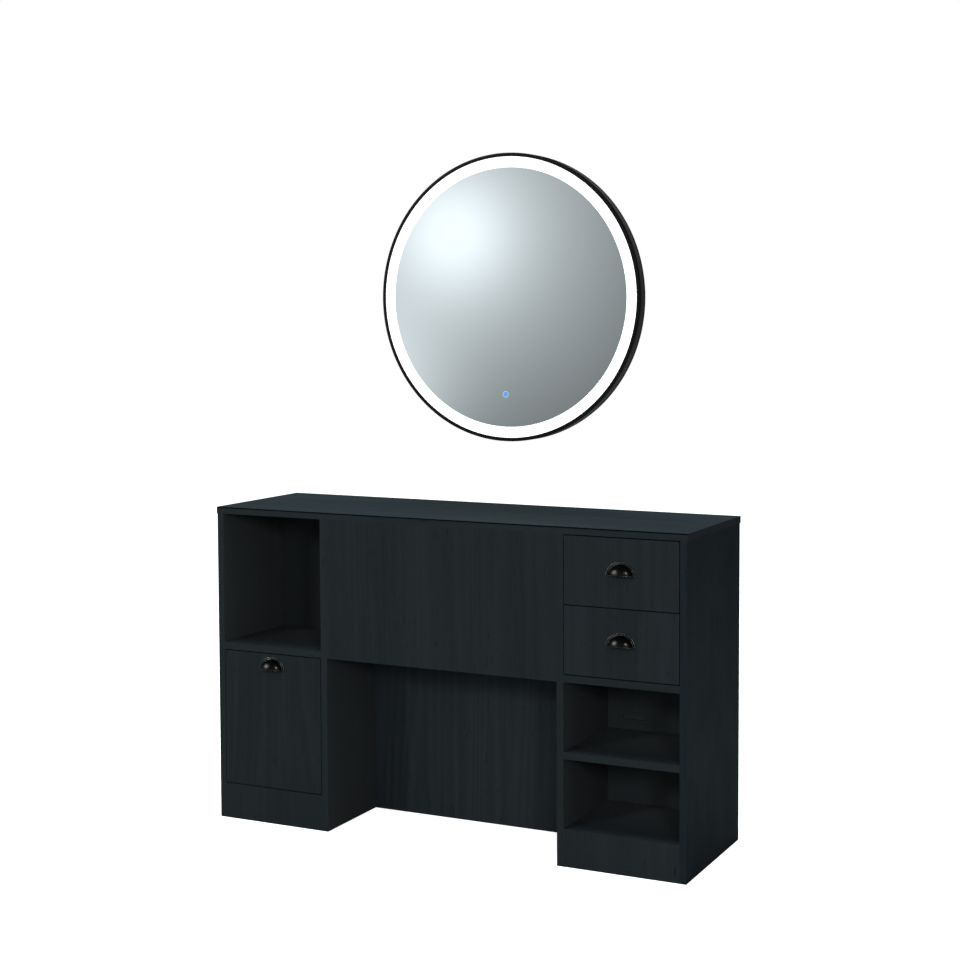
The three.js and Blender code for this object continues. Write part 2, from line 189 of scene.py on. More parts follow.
def addGlow(tree, direction, values):
    turn, rise = math.radians(values["turn"]), math.radians(values["rise"])
    toward = (math.sin(turn) * math.cos(rise), -math.cos(turn) * math.cos(rise), math.sin(rise))
    cosine = addNode(tree, "ShaderNodeVectorMath", {0: direction, 1: toward}, operation="DOT_PRODUCT")
    sharpness = 2 / math.radians(values["width"]) ** 2
    away = math2(tree, "MULTIPLY", math2(tree, "SUBTRACT", 1.0, cosine.outputs["Value"]), sharpness)
    away = math2(tree, "MULTIPLY", math2(tree, "POWER", away, values["edge"]), -1.0)
    return math2(tree, "MULTIPLY", math2(tree, "EXPONENT", away, 0.0), values["strength"])


def addWorld():
    world = bpy.data.worlds.new("studioWorld")
    bpy.context.scene.world = world
    world.use_nodes = True
    tree = world.node_tree
    tree.nodes.clear()
    direction = addNode(tree, "ShaderNodeTexCoord").outputs["Generated"]
    turned = remap(tree, axisOf(tree, direction, "Y"), -0.35, 0.35)
    tentColor = mixColor(tree, turned, studio["tentFront"], studio["tentRear"])
    level = mixColor(tree, turned, studio["sheenFront"], studio["sheenRear"])
    high = remap(tree, axisOf(tree, direction, "Z"), 0.3, 0.75)
    sheenColor = mixColor(tree, high, level, studio["sheenAbove"])
    glow = 0.0
    for values in glows.values():
        glow = math2(tree, "ADD", glow, addGlow(tree, direction, values))
    glowColor = addNode(tree, "ShaderNodeCombineXYZ", {"X": glow, "Y": glow, "Z": glow}).outputs[0]
    mirrored = addNode(tree, "ShaderNodeVectorMath", {0: sheenColor, 1: glowColor}, operation="ADD")
    path = addNode(tree, "ShaderNodeLightPath").outputs
    tent = addNode(tree, "ShaderNodeBackground", {"Color": tentColor})
    sheen = addNode(tree, "ShaderNodeBackground", {"Color": mirrored.outputs[0]})
    backdrop = addNode(tree, "ShaderNodeBackground", {"Color": studio["backdrop"]})
    unseen = addNode(tree, "ShaderNodeMixShader", {
        0: path["Is Glossy Ray"], 1: tent.outputs[0], 2: sheen.outputs[0]})
    whole = addNode(tree, "ShaderNodeMixShader", {
        0: path["Is Camera Ray"], 1: unseen.outputs[0], 2: backdrop.outputs[0]})
    output = tree.nodes.new("ShaderNodeOutputWorld")
    tree.links.new(whole.outputs[0], output.inputs["Surface"])
    bpy.context.scene.view_settings.view_transform = "Standard"


addCamera()
addFloor()
addWorld()
for softboxName, softboxValues in softboxes.items():
    addSoftbox(softboxName, softboxValues)
print("camera and studio ready")

# shader groups shared by the materials


def newGroup(name, inputs, outputs):
    group = bpy.data.node_groups.new(name, "ShaderNodeTree")
    for label, kind, value in inputs:
        socket = group.interface.new_socket(name=label, in_out="INPUT", socket_type=kind)
        if value is not None:
            socket.default_value = value
    for label, kind in outputs:
        group.interface.new_socket(name=label, in_out="OUTPUT", socket_type=kind)
    return group, group.nodes.new("NodeGroupInput"), group.nodes.new("NodeGroupOutput")


def noise(tree, vector, scale, detail=4.0, roughness=0.55, distortion=0.0):
    return addNode(tree, "ShaderNodeTexNoise", {
        "Vector": vector, "Scale": scale, "Detail": detail, "Roughness": roughness,
        "Distortion": distortion}).outputs["Fac"]


def stretchedBy(tree, vector, stretch, shift):
    scaled = addNode(tree, "ShaderNodeVectorMath", {0: vector, 1: stretch}, operation="MULTIPLY")
    moved = addNode(tree, "ShaderNodeVectorMath", {0: scaled.outputs[0], 1: shift}, operation="ADD")
    return moved.outputs[0]


def buildGrainGroup():
    # printed wood grain: broad bands, cathedral figure, fine streaks and short pores
    group, given, made = newGroup(
        "printedGrain",
        [("Vector", "NodeSocketVector", None), ("Stretch", "NodeSocketVector", (1.0, 1.0, 0.05)),
         ("Shift", "NodeSocketVector", (0.0, 0.0, 0.0)), ("Figure", "NodeSocketFloat", 0.5)],
        [("Tone", "NodeSocketFloat"), ("Pores", "NodeSocketFloat"), ("Height", "NodeSocketFloat")])
    place = stretchedBy(group, given.outputs["Vector"], given.outputs["Stretch"], given.outputs["Shift"])
    bands = noise(group, place, 14.0, 3.0, 0.5, 0.6)
    streaks = noise(group, place, 90.0, 5.0, 0.65, 0.2)
    fine = noise(group, place, 420.0, 3.0, 0.6)
    warp = noise(group, place, 5.0, 2.0, 0.5, 0.0)
    rings = math2(group, "SINE", math2(group, "MULTIPLY", warp, 150.0), 0.0)
    figure = math2(group, "MULTIPLY", math2(group, "MULTIPLY_ADD", rings, 0.5), given.outputs["Figure"])
    tone = math2(group, "MULTIPLY", bands, 0.5)
    tone = math2(group, "ADD", tone, math2(group, "MULTIPLY", streaks, 0.4))
    tone = math2(group, "ADD", tone, math2(group, "MULTIPLY", figure, 0.12))
    tone = math2(group, "ADD", tone, math2(group, "MULTIPLY", fine, 0.16))
    toneOut = remap(group, tone, 0.36, 0.78)
    longPores = remap(group, fine, 0.60, 0.72)
    broken = remap(group, noise(group, given.outputs["Vector"], 60.0, 2.0), 0.45, 0.6)
    pores = math2(group, "MULTIPLY", longPores, broken)
    height = math2(group, "SUBTRACT", math2(group, "MULTIPLY", streaks, 0.5), pores)
    group.links.new(toneOut, made.inputs["Tone"])
    group.links.new(pores, made.inputs["Pores"])
    group.links.new(height, made.inputs["Height"])
    return group


def buildHandlingGroup():
    # faint smudges and dust: a slow mottling with a fine speckle over it
    group, given, made = newGroup(
        "handlingMarks",
        [("Vector", "NodeSocketVector", None), ("Size", "NodeSocketFloat", 6.0),
         ("Low", "NodeSocketFloat", 0.4), ("High", "NodeSocketFloat", 0.5)],
        [("Roughness", "NodeSocketFloat"), ("Speckle", "NodeSocketFloat")])
    slow = noise(group, given.outputs["Vector"], given.outputs["Size"], 5.0, 0.6, 0.4)
    speckle = noise(group, given.outputs["Vector"], 900.0, 2.0, 0.5)
    blend = math2(group, "ADD", math2(group, "MULTIPLY", slow, 0.8), math2(group, "MULTIPLY", speckle, 0.2))
    result = remap(group, blend, 0.35, 0.65, given.outputs["Low"], given.outputs["High"])
    group.links.new(result, made.inputs["Roughness"])
    group.links.new(speckle, made.inputs["Speckle"])
    return group


def buildWearGroup():
    # raised edges rubbed bright: convex corners found from the surface's own curvature
    group, given, made = newGroup(
        "rubbedEdges",
        [("Vector", "NodeSocketVector", None), ("Start", "NodeSocketFloat", 0.52),
         ("Full", "NodeSocketFloat", 0.6), ("Breakup", "NodeSocketFloat", 120.0)],
        [("Mask", "NodeSocketFloat")])
    convex = addNode(group, "ShaderNodeNewGeometry").outputs["Pointiness"]
    mask = remap(group, convex, given.outputs["Start"], given.outputs["Full"])
    breakup = remap(group, noise(group, given.outputs["Vector"], given.outputs["Breakup"], 3.0), 0.3, 0.6)
    group.links.new(math2(group, "MULTIPLY", mask, breakup), made.inputs["Mask"])
    return group


grainGroup = buildGrainGroup()
handlingGroup = buildHandlingGroup()
wearGroup = buildWearGroup()


def useGroup(tree, group, inputs=None):
    node = tree.nodes.new("ShaderNodeGroup")
    node.node_tree = group
    for key, value in (inputs or {}).items():
        if isinstance(value, bpy.types.NodeSocket):
            tree.links.new(value, node.inputs[key])
        else:
            node.inputs[key].default_value = value
    return node


def objectPlace(tree):
    return addNode(tree, "ShaderNodeTexCoord").outputs["Object"]


def bump(tree, height, strength, distance):
    return addNode(tree, "ShaderNodeBump", {
        "Height": height, "Strength": strength, "Distance": distance}).outputs["Normal"]


# board finishes

laminate = {
    "dark": (0.0125, 0.0160, 0.0184, 1),
    "light": (0.0182, 0.0233, 0.0266, 1),
    "pore": (0.0070, 0.0085, 0.0096, 1),
    "joint": (0.0006, 0.0008, 0.001, 1),
    "frontTopDarkWidth": 0.0029,
    "sheen": 0.035,
    "paintedLightGrey": 0.45,         # painted light on the faces inside the compartments: lighter, greyer, and with a calmer grain
    "paintedLightContrast": 0.4,
    "shelfPaintedLightSpan": (-0.12, 0.05),  # where the painted light on the shelves' upper faces grows from none to full
}
grainStretch = {"z": (1.0, 1.0, 0.035), "x": (0.035, 1.0, 1.0), "y": (1.0, 0.035, 1.0)}


def toned(color, tone, grey=0.0):
    # the same print made lighter or darker, and nearer to a plain grey: used for the boards' own tones and
    # for painted light and shade
    middle = sum(color[:3]) / 3
    return tuple((channel * (1 - grey) + middle * grey) * tone for channel in color[:3]) + (1,)


def laminateMaterial(name, board, shift, frontTopDarkAt=None):
    material, tree, output = makeMaterial(name)
    place = objectPlace(tree)
    grain = useGroup(tree, grainGroup, {
        "Vector": place, "Stretch": grainStretch[board["grain"]], "Shift": shift, "Figure": board["figure"]})
    marks = useGroup(tree, handlingGroup, {"Vector": place, "Size": 5.0, "Low": 0.42, "High": 0.56})
    tone, grey = board.get("tone", 1.0), board.get("grey", 0.0)
    dark, light, pore = (toned(laminate[key], tone, grey) for key in ("dark", "light", "pore"))
    contrast = board.get("contrast", 1.0)
    color = mixColor(tree, evened(tree, grain.outputs["Tone"], contrast), dark, light)
    color = mixColor(tree, math2(tree, "MULTIPLY", grain.outputs["Pores"], contrast), color, pore)
    # painted light on the compartment walls, which lie in shade
    if "paintedLightTone" in board:
        color = withPaintedLight(tree, grain, wallPaintedLightMask(tree, board["paintedLightSide"]), color, board["paintedLightTone"])
    # painted light on the shelves' upper faces, stronger towards the back
    if "shelfPaintedLightTone" in board:
        color = withPaintedLight(tree, grain, shelfPaintedLightMask(tree, place), color, board["shelfPaintedLightTone"])
    if frontTopDarkAt is not None:
        color = mixColor(tree, frontTopDarkLine(tree, place, frontTopDarkAt), color, laminate["joint"])
    addSurface(tree, output, {
        "Base Color": color, "Roughness": marks.outputs["Roughness"],
        "Specular IOR Level": laminate["sheen"],
        "Normal": bump(tree, grain.outputs["Height"], 0.35, 0.0004)})
    return material


def evened(tree, tone, contrast):
    # the same grain drawn nearer to its middle tone
    spare = (1 / contrast - 1) / 2
    return remap(tree, tone, -spare, 1 + spare)


def withPaintedLight(tree, grain, mask, color, tone):
    # painted light: a lighter, greyer, calmer copy of the print laid over the board's own where the mask says
    inner = mixColor(tree, evened(tree, grain.outputs["Tone"], laminate["paintedLightContrast"]), *(
        toned(laminate[key], tone, laminate["paintedLightGrey"]) for key in ("dark", "light")))
    return mixColor(tree, mask, color, inner)


def wallPaintedLightMask(tree, side):
    # where light is painted on the board faces inside the compartments: +1 or -1 names the face along X, 0
    # means both
    if side:
        return remap(tree, facing(tree, "X"), 0.5 * side, 0.9 * side)
    return remap(tree, unsigned(tree, facing(tree, "X")), 0.5, 0.9)


def shelfPaintedLightMask(tree, place):
    # painted light on the upper faces of the shelves, growing from their front edges to the back panel
    upward = remap(tree, facing(tree, "Z"), 0.5, 0.9)
    return math2(tree, "MULTIPLY", upward, remap(tree, axisOf(tree, place, "Y"), *laminate["shelfPaintedLightSpan"]))


def frontTopDarkLine(tree, place, topZ):
    # a near-black line along the top of the front faces, just under the upper face
    width = laminate["frontTopDarkWidth"]
    near = remap(tree, axisOf(tree, place, "Z"), topZ - width * 1.15, topZ - width * 0.85)
    return math2(tree, "MULTIPLY", near, remap(tree, facing(tree, "Y"), -0.4, -0.7))


boardBevel = {"width": 0.0004, "segments": 2}


def bevelled(piece, width=None, segments=None):
    modifier = piece.modifiers.new("softEdges", "BEVEL")
    modifier.width = width or boardBevel["width"]
    modifier.segments = segments or boardBevel["segments"]
    modifier.limit_method = "ANGLE"
    modifier.angle_limit = math.radians(40)
    modifier.harden_normals = False


def dress(node, material):
    piece = nodes[node]
    piece.data.materials.clear()
    piece.data.materials.append(material)


boards = {
    "top_panel": {"grain": "x", "figure": 0.7},
    "left_shelf": {"grain": "x", "figure": 0.4, "shelfPaintedLightTone": 1.9},
    "drawer_support_shelf": {"grain": "x", "figure": 0.4},
    "middle_shelf": {"grain": "x", "figure": 0.4, "shelfPaintedLightTone": 2.7},
    "left_bottom_panel": {"grain": "x", "figure": 0.4},
    "right_bottom_panel": {"grain": "x", "figure": 0.4, "shelfPaintedLightTone": 2.7},
    "left_plinth": {"grain": "z", "figure": 0.4, "tone": 0.93},
    "right_plinth": {"grain": "z", "figure": 0.4},
    # paintedLightTone lightens the board faces inside the compartments: painted light where they lie in shade
    "left_side_panel": {"grain": "z", "figure": 0.8, "paintedLightSide": 1, "paintedLightTone": 1.68},
    # the right side panel's low tone and stronger colour are painted shade on the side turned from the light
    "right_side_panel": {
        "grain": "z", "figure": 0.8, "tone": 0.79, "grey": -0.5, "paintedLightSide": -1, "paintedLightTone": 1.6},
    "left_divider_panel": {"grain": "z", "figure": 0.6, "paintedLightSide": 0, "paintedLightTone": 1.55},
    "right_divider_panel": {"grain": "z", "figure": 0.6, "paintedLightSide": 0, "paintedLightTone": 1.5},
    "center_apron_panel": {"grain": "z", "figure": 0.8, "tone": 0.93},
    # the kneehole back and the two back panels are lightened: painted light on the backs of the recesses
    "kneehole_back_panel": {"grain": "z", "figure": 1.4, "tone": 1.22},
    "left_back_panel": {"grain": "z", "figure": 0.7, "tone": 1.1, "grey": 0.3, "contrast": 0.45},
    "right_back_panel": {"grain": "z", "figure": 0.7, "tone": 1.7, "grey": 0.3, "contrast": 0.4},
    "upper_drawer_front": {"grain": "z", "figure": 0.7, "tone": 0.92},
    "lower_drawer_front": {"grain": "z", "figure": 0.7, "tone": 0.98},
    "hamper_door": {"grain": "z", "figure": 1.2, "tone": 0.88},
}


def dressBoards():
    draw = random.Random(11)
    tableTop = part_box("top_panel")[1].z
    for name, board in boards.items():
        shift = tuple(draw.uniform(-9.0, 9.0) for _ in range(3))
        line = tableTop if name == "top_panel" else None
        dress(name, laminateMaterial(f"laminate_{name}", board, shift, line))
        bevelled(nodes[name])


plainBoard = {"color": (0.020, 0.0225, 0.0245, 1), "flecks": (0.028, 0.031, 0.033, 1)}


def plainBoardMaterial():
    material, tree, output = makeMaterial("greyMelamine")
    place = objectPlace(tree)
    marks = useGroup(tree, handlingGroup, {"Vector": place, "Size": 9.0, "Low": 0.45, "High": 0.6})
    color = mixColor(tree, marks.outputs["Speckle"], plainBoard["color"], plainBoard["flecks"])
    addSurface(tree, output, {
        "Base Color": color, "Roughness": marks.outputs["Roughness"], "Specular IOR Level": 0.3,
        "Normal": bump(tree, marks.outputs["Speckle"], 0.15, 0.0002)})
    return material


def dressPlainBoards():
    material = plainBoardMaterial()
    for name in nodes:
        inDrawer = "_drawer_" in name and name.split("_drawer_")[1] in (
            "left_side", "right_side", "back", "bottom")
        if inDrawer or name.startswith("bin_") or name == "hamper_stop_batten":
            dress(name, material)
            bevelled(nodes[name], 0.0005)


dressBoards()
dressPlainBoards()
print("boards dressed")

# metals and plastics

zinc = {"bright": (0.56, 0.57, 0.58, 1), "dull": (0.42, 0.43, 0.45, 1), "low": 0.26, "high": 0.42}


def zincFinish():
    material, tree, output = makeMaterial("zincPlate")
    marks = useGroup(tree, handlingGroup, {
        "Vector": objectPlace(tree), "Size": 30.0, "Low": zinc["low"], "High": zinc["high"]})
    color = mixColor(tree, marks.outputs["Speckle"], zinc["bright"], zinc["dull"])
    addSurface(tree, output, {
        "Base Color": color, "Metallic": 1.0, "Roughness": marks.outputs["Roughness"],
        "Normal": bump(tree, marks.outputs["Speckle"], 0.1, 0.0001)})
    return material


def plasticMaterial(name, color, low, high, grit=0.2):
    material, tree, output = makeMaterial(name)
    place = objectPlace(tree)
    marks = useGroup(tree, handlingGroup, {"Vector": place, "Size": 20.0, "Low": low, "High": high})
    darker = tuple(channel * 0.85 for channel in color[:3]) + (1,)
    addSurface(tree, output, {
        "Base Color": mixColor(tree, marks.outputs["Speckle"], color, darker),
        "Roughness": marks.outputs["Roughness"],
        "Normal": bump(tree, marks.outputs["Speckle"], grit, 0.00015)})
    return material


# face is the frame's own black; side is a painted sheen on the band's outer side
frameColorAndSheen = {
    "face": (0.0012, 0.0012, 0.0014, 1), "side": (0.066, 0.057, 0.063, 1),
    "fromFront": (0.006, 0.009), "fromRear": (0.0025, 0.0045),
}


def frameFinish():
    # satin black, with a painted sheen: the side of the band a little greyer between its two edges
    material, tree, output = makeMaterial("satinBlackWithPaintedSheen")
    low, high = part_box("mirror_frame")
    place = objectPlace(tree)
    marks = useGroup(tree, handlingGroup, {"Vector": place, "Size": 30.0, "Low": 0.34, "High": 0.46})
    depth = axisOf(tree, place, "Y")
    sheenBand = math2(tree, "MULTIPLY", remap(tree, depth, *(low.y + reach for reach in frameColorAndSheen["fromFront"])),
                 remap(tree, depth, *(high.y - reach for reach in frameColorAndSheen["fromRear"])))
    side = math2(tree, "MULTIPLY", remap(tree, unsigned(tree, facing(tree, "Y")), 0.5, 0.1), sheenBand)
    grey = mixColor(tree, marks.outputs["Speckle"], frameColorAndSheen["side"], frameColorAndSheen["face"])
    addSurface(tree, output, {
        "Base Color": mixColor(tree, side, frameColorAndSheen["face"], grey),
        "Roughness": marks.outputs["Roughness"], "Specular IOR Level": 0.2,
        "Normal": bump(tree, marks.outputs["Speckle"], 0.1, 0.0001)})
    return material


bronze = {
    "deep": (0.034, 0.034, 0.032, 1), "warm": (0.054, 0.053, 0.050, 1),
    "dull": (0.115, 0.12, 0.122, 1), "bright": (0.255, 0.27, 0.275, 1),
}


def bronzeMaterial(name, rubStart, rubFull):
    # dark bronze whose patina is rubbed through in broken patches between the two limits
    material, tree, output = makeMaterial(name)
    place = objectPlace(tree)
    marks = useGroup(tree, handlingGroup, {"Vector": place, "Size": 60.0, "Low": 0.2, "High": 0.3})
    rubbed = useGroup(tree, wearGroup, {
        "Vector": place, "Start": rubStart, "Full": rubFull, "Breakup": 40.0})
    patina = noise(tree, place, 140.0, 4.0, 0.6)
    color = mixColor(tree, remap(tree, patina, 0.4, 0.7), bronze["deep"], bronze["warm"])
    color = mixColor(tree, rubbed.outputs["Mask"], color, bronze["bright"])
    addSurface(tree, output, {
        "Base Color": color, "Metallic": 1.0, "Roughness": marks.outputs["Roughness"],
        "Normal": bump(tree, patina, 0.08, 0.0003)})
    return material


def rubbedRimMaterial():
    # the beads, rubbed brighter than the rest of the pull
    material, tree, output = makeMaterial("rubbedBronze")
    place = objectPlace(tree)
    marks = useGroup(tree, handlingGroup, {"Vector": place, "Size": 40.0, "Low": 0.3, "High": 0.42})
    wear = remap(tree, noise(tree, place, 45.0, 3.0), 0.35, 0.65)
    addSurface(tree, output, {
        "Base Color": mixColor(tree, wear, bronze["dull"], bronze["bright"]), "Metallic": 1.0,
        "Roughness": marks.outputs["Roughness"]})
    return material


zincMaterial = zincFinish()
frameMaterial = frameFinish()
pullMaterial = bronzeMaterial("antiqueBronze", 0.6, 0.8)
# near-black: the pulls' crown studs, and painted shade in the screws' cross recesses
nearBlackStudAndRecessShade = plasticMaterial("nearBlackStudAndPaintedRecessShade", (0.004, 0.004, 0.004, 1), 0.45, 0.6)
rimMaterial = rubbedRimMaterial()
blackPlastic = plasticMaterial("blackPlastic", (0.018, 0.018, 0.019, 1), 0.4, 0.55)
outletPlastic = plasticMaterial("outletPlastic", (0.026, 0.031, 0.035, 1), 0.45, 0.6)
brushMaterial = plasticMaterial("brushBristle", (0.034, 0.040, 0.046, 1), 0.55, 0.7, 0.4)
whitePlastic = plasticMaterial("whitePlastic", (0.78, 0.78, 0.77, 1), 0.35, 0.45)
whiteSteel = plasticMaterial("whitePowderCoat", (0.74, 0.745, 0.74, 1), 0.45, 0.6, 0.35)


def newPiece(name, mesh, body, material, smooth=True):
    piece = bpy.data.objects.new(name, mesh)
    bpy.context.scene.collection.objects.link(piece)
    mesh.materials.append(material)
    if smooth:
        mesh.shade_smooth()
    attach(piece, body)
    return piece


def meshFrom(name, builder):
    shape = bmesh.new()
    builder(shape)
    bmesh.ops.recalc_face_normals(shape, faces=shape.faces)
    mesh = bpy.data.meshes.new(name)
    shape.to_mesh(mesh)
    shape.free()
    return mesh


# cup pulls

pull = {
    "wall": 0.0012, "flangeThickness": 0.0015, "topSlim": 0.75, "lipLean": 6.0,
    "section": ((0.0, 0.0014), (0.0004, 0.0016), (0.0030, 0.0015), (0.0046, 0.0013), (0.0055, 0.0016),
                (0.0060, 0.0024), (0.0066, 0.0027)),
    "rimInset": 0.0010, "rimStand": 0.0017, "rimRadius": 0.0009, "lipRadius": 0.0006,
    "rootInset": 0.0056, "rootStand": 0.0019, "rootRadius": 0.0005, "cornerRadius": 0.0013,
    "arcSteps": 56, "domeSteps": 16, "studRadius": 0.0021,
}


def addBar(shape, path, radius, reference, sides=8):
    # a round bar along a path, its ends closed by small domes
    count = len(path)
    rings = []
    for index, point in enumerate(path):
        along = (path[min(index + 1, count - 1)] - path[max(index - 1, 0)]).normalized()
        across = along.cross(reference).normalized()
        third = across.cross(along)
        if index == 0:
            shifts = ((-0.9, 0.43), (-0.5, 0.87), (0.0, 1.0))
        elif index == count - 1:
            shifts = ((0.0, 1.0), (0.5, 0.87), (0.9, 0.43))
        else:
            shifts = ((0.0, 1.0),)
        for shift, size in shifts:
            middle = point + along * radius * shift
            rings.append([shape.verts.new(middle + (
                across * math.cos(2 * math.pi * k / sides)
                + third * math.sin(2 * math.pi * k / sides)) * radius * size) for k in range(sides)])
    for first, second in zip(rings, rings[1:]):
        for a in range(sides):
            b = (a + 1) % sides
            shape.faces.new((first[a], first[b], second[b], second[a]))
    shape.faces.new(rings[0])
    shape.faces.new(rings[-1])


def buildCupPull(name, node, body):
    low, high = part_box(node)
    centerX = (low.x + high.x) / 2
    halfWidth = (high.x - low.x) / 2
    back, base = high.y, low.z
    flangeTop = high.z - base
    reach = high.y - low.y
    inset, root = pull["section"][-1]
    steps, domeSteps = pull["arcSteps"], pull["domeSteps"]
    slope = math.tan(math.radians(pull["lipLean"]))

    def outline(angle, shrink):
        tall = flangeTop - shrink * pull["topSlim"]
        return (halfWidth - shrink) * math.cos(angle), tall * math.sin(angle)

    def place(x, stand, z):
        # the mouth's plane climbs towards the front
        lift = max(0.0, stand - pull["flangeThickness"]) * slope
        return Vector((centerX + x, back - stand, base + lift + z * (1 - lift / flangeTop)))

    def domePoint(angle, lean, less=0.0):
        x, z = outline(angle, inset)
        shrunk = math.cos(lean)
        return place(x * shrunk, root + (reach - less - root) * math.sin(lean), z * shrunk)

    def makeShell(shape):
        rows = []
        for index in range(steps + 1):
            angle = math.pi * index / steps
            row = []
            for shrink, stand in pull["section"]:
                x, z = outline(angle, shrink)
                row.append(shape.verts.new(place(x, stand, z)))
            for k in range(1, domeSteps):
                row.append(shape.verts.new(domePoint(angle, math.pi / 2 * k / domeSteps)))
            rows.append(row)
        crown = shape.verts.new(domePoint(0.0, math.pi / 2))
        for first, second in zip(rows, rows[1:]):
            for a in range(len(first) - 1):
                shape.faces.new((first[a], first[a + 1], second[a + 1], second[a]))
            shape.faces.new((first[-1], crown, second[-1]))

    def makeRim(shape):
        # the outer bead, the thin one at the dome's foot, and the balls that end the outer one
        spare = math.asin(1.1 * pull["rimRadius"] / flangeTop)
        for bead in ("rim", "root"):
            path = []
            for index in range(steps + 1):
                x, z = outline(spare + (math.pi - 2 * spare) * index / steps, pull[f"{bead}Inset"])
                path.append(place(x, pull[f"{bead}Stand"], z))
            addBar(shape, path, pull[f"{bead}Radius"], Vector((0, 1, 0)))
        ball = pull["cornerRadius"]
        for side in (-1, 1):
            spot = place(side * (halfWidth - ball), pull["rimStand"], ball)
            bmesh.ops.create_uvsphere(shape, u_segments=14, v_segments=8, radius=ball,
                                      matrix=Matrix.Translation(spot))

    def makeLip(shape):
        leans = [math.pi / 2 * k / domeSteps for k in range(domeSteps + 1)]
        path = [domePoint(math.pi, lean, pull["lipRadius"]) for lean in leans]
        path += [domePoint(0.0, lean, pull["lipRadius"]) for lean in reversed(leans[:-1])]
        addBar(shape, [point + Vector((0, 0, pull["lipRadius"])) for point in path], pull["lipRadius"],
               Vector((0, 0, 1)), 6)

    def makeStud(shape):
        spot = Vector((centerX, back - pull["flangeThickness"], base + flangeTop - pull["studRadius"]))
        bmesh.ops.create_uvsphere(shape, u_segments=16, v_segments=10, radius=pull["studRadius"],
                                  matrix=Matrix.Translation(spot))

    shell = newPiece(name, meshFrom(name, makeShell), body, pullMaterial)
    faceOut(shell)
    solidify = shell.modifiers.new("shellWall", "SOLIDIFY")
    solidify.thickness = pull["wall"]
    solidify.offset = -1
    solidify.use_even_offset = True
    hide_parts(node)
    for label, builder, material in (("rim", makeRim, rimMaterial), ("lip", makeLip, rimMaterial),
                                     ("stud", makeStud, nearBlackStudAndRecessShade)):
        newPiece(f"{name}_{label}", meshFrom(f"{name}_{label}", builder), body, material)


def faceOut(piece):
    # the sheet's faces look towards the room, so that its wall grows inwards
    mesh = piece.data
    total = sum((face.normal * face.area for face in mesh.polygons), Vector())
    if total.y > 0:
        mesh.flip_normals()


for pullNode, pullBody in (("upper_drawer_pull", "upper_drawer"), ("lower_drawer_pull", "lower_drawer"),
                           ("hamper_pull", "hamper")):
    buildCupPull(pullNode.replace("pull", "cupPull"), pullNode, pullBody)
print("pulls made")

# mirror

mirror = {
    "steps": 224, "hub": 0.0004, "fit": 0.0003,
    "frameFace": 0.0075, "frameWall": 0.002, "ledge": 0.0025, "ledgeThickness": 0.002, "frameCorner": 0.0009,
    "lipOver": 0.0013, "lipThickness": 0.0012, "lipSlope": 0.0001,
    "groove": 0.0009, "grooveSlope": 0.001, "grooveFromFront": 0.0075, "grooveFromRear": 0.0025,
    "glassEdge": 0.0006, "glassColor": (0.785, 0.874, 0.905, 1), "glassSpeckle": (0.78, 0.869, 0.9, 1),
    "ringCorner": 0.0005, "ringGlow": 0.95,
}


def ringMesh(name, profile, center, steps, closed=True):
    # a closed [radius, y] profile turned about the mirror's axis
    def turn(shape):
        rows = []
        for index in range(steps):
            angle = 2 * math.pi * index / steps
            rows.append([shape.verts.new((center.x + r * math.cos(angle), y, center.z + r * math.sin(angle)))
                         for r, y in profile])
        count = len(profile)
        for index in range(steps):
            first, second = rows[index], rows[(index + 1) % steps]
            for a in range(count if closed else count - 1):
                b = (a + 1) % count
                shape.faces.new((first[a], first[b], second[b], second[a]))
        if not closed:
            shape.faces.new([row[0] for row in rows])
            shape.faces.new([row[-1] for row in rows])

    return meshFrom(name, turn)


def rounded(corners, radius, steps=4):
    # a closed outline whose corners are turned into small arcs
    points = []
    count = len(corners)
    for index in range(count):
        here = Vector(corners[index])
        before = Vector(corners[index - 1]) - here
        after = Vector(corners[(index + 1) % count]) - here
        reach = min(radius, before.length * 0.45, after.length * 0.45)
        start, end = here + before.normalized() * reach, here + after.normalized() * reach
        for k in range(steps + 1):
            t = k / steps
            points.append(tuple(start * (1 - t) ** 2 + here * 2 * t * (1 - t) + end * t ** 2))
    return points


def buildMirrorFrame():
    # a shallow drawn groove runs round the band, and the ledge holds the glass from behind
    low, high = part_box("mirror_frame")
    outer = (high.x - low.x) / 2
    front, rear = low.y, high.y
    inner = outer - mirror["frameFace"]
    over = inner - mirror["lipOver"]
    wall = outer - mirror["frameWall"]
    ledge = inner - mirror["ledge"]
    lip = front + mirror["lipThickness"]
    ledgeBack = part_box("mirror_glass")[1].y + mirror["ledgeThickness"]
    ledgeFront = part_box("mirror_glass")[1].y + mirror["fit"]
    waist = outer - mirror["groove"]
    grooveStart = front + mirror["grooveFromFront"]
    grooveEnd = rear - mirror["grooveFromRear"]
    corners = [
        (over, front), (outer, front), (outer, grooveStart), (waist, grooveStart + mirror["grooveSlope"]),
        (waist, grooveEnd - mirror["grooveSlope"]), (outer, grooveEnd), (outer, rear), (wall, rear),
        (wall, ledgeBack), (ledge, ledgeBack), (ledge, ledgeFront), (inner, ledgeFront),
        (inner, lip + mirror["lipSlope"]), (over, lip)]
    mesh = ringMesh("mirrorFrame", rounded(corners, mirror["frameCorner"]), (low + high) / 2, mirror["steps"])
    piece = newPiece("mirrorFrame", mesh, "table", frameMaterial)
    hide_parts("mirror_frame")


